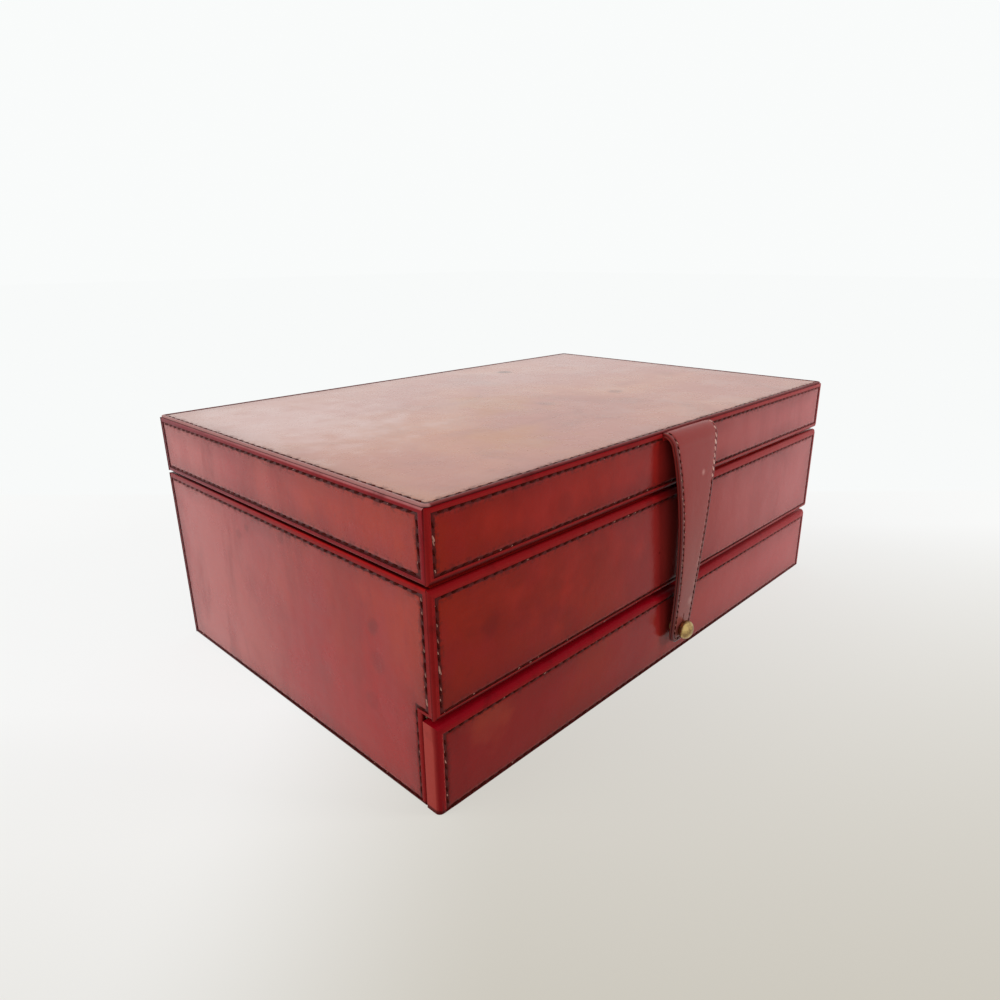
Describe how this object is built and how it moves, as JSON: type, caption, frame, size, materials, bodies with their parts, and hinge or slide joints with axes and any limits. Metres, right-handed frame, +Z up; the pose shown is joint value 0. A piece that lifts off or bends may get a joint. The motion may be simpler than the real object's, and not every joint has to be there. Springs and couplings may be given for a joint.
{
  "type": "jewelry box",
  "caption": "Leather jewelry box with a hinged lid, a lined well, a drawer below it, and a tapered strap that hangs from the lid and buttons over a ball stud on the drawer front.",
  "frame": {"origin": "middle of the box's footprint, on the surface that the box stands on", "axes": "+X to the right seen from the front, +Y to the hinged back, +Z up"},
  "size_m": [0.292, 0.2069, 0.113],
  "materials": {
    "red_leather": "satin",
    "edge_leather": "satin",
    "strap_leather": "satin",
    "suede_lining": "matte",
    "felt": "matte",
    "board": "matte",
    "aged_brass": "satin"
  },
  "bodies": {
    "case": {"base_leather": "red_leather", "case_floor": "board", "case_side_left": "board", "case_side_right": "board", "case_back": "board", "front_rail": "board", "shelf": "board", "case_front_leather": "red_leather", "case_left_leather": "red_leather", "case_right_leather": "red_leather", "case_back_leather": "red_leather", "case_rim_binding": "edge_leather", "bay_felt": "felt", "well_floor_lining": "suede_lining", "well_wall_lining": "suede_lining", "long_divider": "suede_lining", "front_cross_divider": "suede_lining", "rear_cross_divider_left": "suede_lining", "rear_cross_divider_right": "suede_lining", "ring_rolls": "suede_lining", "case_hinge_leaf_left": "aged_brass", "case_hinge_leaf_right": "aged_brass", "hinge_pin_left": "aged_brass", "hinge_pin_right": "aged_brass", "case_hinge_screws": "aged_brass"},
    "lid": {"lid_top_board": "board", "lid_front_wall": "board", "lid_back_wall": "board", "lid_left_wall": "board", "lid_right_wall": "board", "lid_top_leather": "red_leather", "lid_front_leather": "red_leather", "lid_left_leather": "red_leather", "lid_right_leather": "red_leather", "lid_back_leather": "red_leather", "lid_rim_binding": "edge_leather", "lid_top_lining": "suede_lining", "lid_wall_lining": "suede_lining", "lid_hinge_leaf_left": "aged_brass", "lid_hinge_leaf_right": "aged_brass", "lid_hinge_screws": "aged_brass", "strap_root": "strap_leather"},
    "strap": {"strap_outer": "strap_leather", "strap_lining": "strap_leather"},
    "drawer": {"drawer_front": "board", "drawer_front_leather": "red_leather", "drawer_left_side": "board", "drawer_right_side": "board", "drawer_back": "board", "drawer_bottom": "board", "drawer_floor_lining": "suede_lining", "drawer_wall_lining": "suede_lining", "drawer_divider_left": "suede_lining", "drawer_divider_right": "suede_lining", "drawer_stud": "aged_brass", "stud_screw": "aged_brass"}
  },
  "joints": [
    {"name": "lid_hinge", "type": "hinge", "parent": "case", "child": "lid", "pos_m": [0, 0.0978, 0.0859], "axis": [-1, 0, 0], "range_deg": [0, 95]},
    {"name": "strap_fold", "type": "hinge", "parent": "lid", "child": "strap", "pos_m": [0, -0.0955, 0.1098], "axis": [-1, 0, 0], "range_deg": [0, 110], "deforming": ["strap_outer", "strap_lining"]},
    {"name": "drawer_slide", "type": "slide", "parent": "case", "child": "drawer", "axis": [0, -1, 0], "range_m": [0, 0.125]}
  ]
}
